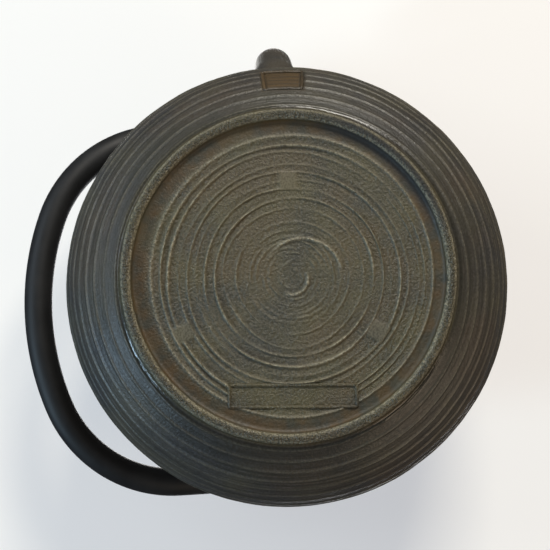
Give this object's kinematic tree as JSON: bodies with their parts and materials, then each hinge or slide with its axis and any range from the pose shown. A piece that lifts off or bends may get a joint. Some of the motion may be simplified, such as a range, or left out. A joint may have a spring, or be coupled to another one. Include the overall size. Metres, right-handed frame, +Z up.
{
  "type": "teapot",
  "caption": "Squat round cast iron teapot with a short spout, thread lines on its wall, a folding hollow bail handle in cast ears, a knobbed lid and a lift-out mesh infuser.",
  "frame": {"origin": "centre of the foot ring, in the plane that the pot stands on", "axes": "+Z up along the pot's axis, +X towards the spout, -Y towards the folded bail; the bail hinges about a line along X"},
  "size_m": [0.1782, 0.1785, 0.1029],
  "materials": {
    "cast_iron": "sand-cast, dark brown-black patina, dull satin",
    "black_steel": "satin black lacquer over steel",
    "steel": "plain stainless steel"
  },
  "bodies": {
    "pot": {"pot_body": "cast_iron"},
    "bail": {"handle_tube": "black_steel", "handle_hook_front": "black_steel", "handle_hook_back": "black_steel"},
    "infuser": {"infuser_collar": "steel", "infuser_wall": "steel", "infuser_floor": "steel", "infuser_hoop": "steel"},
    "lid": {"lid": "cast_iron", "lid_knob": "cast_iron", "knob_screw": "steel", "knob_washer": "steel"}
  },
  "joints": [
    {"name": "handle_swing", "type": "hinge", "parent": "pot", "child": "bail", "pos_m": [0, 0, 0.0798], "axis": [-1, 0, 0], "range_deg": [0, 207.1]},
    {"name": "infuser_lift", "type": "slide", "parent": "pot", "child": "infuser", "axis": [0, 0, 1], "range_m": [0, 0.065]},
    {"name": "lid_lift", "type": "slide", "parent": "infuser", "child": "lid", "axis": [0, 0, 1], "range_m": [0, 0.05]}
  ]
}
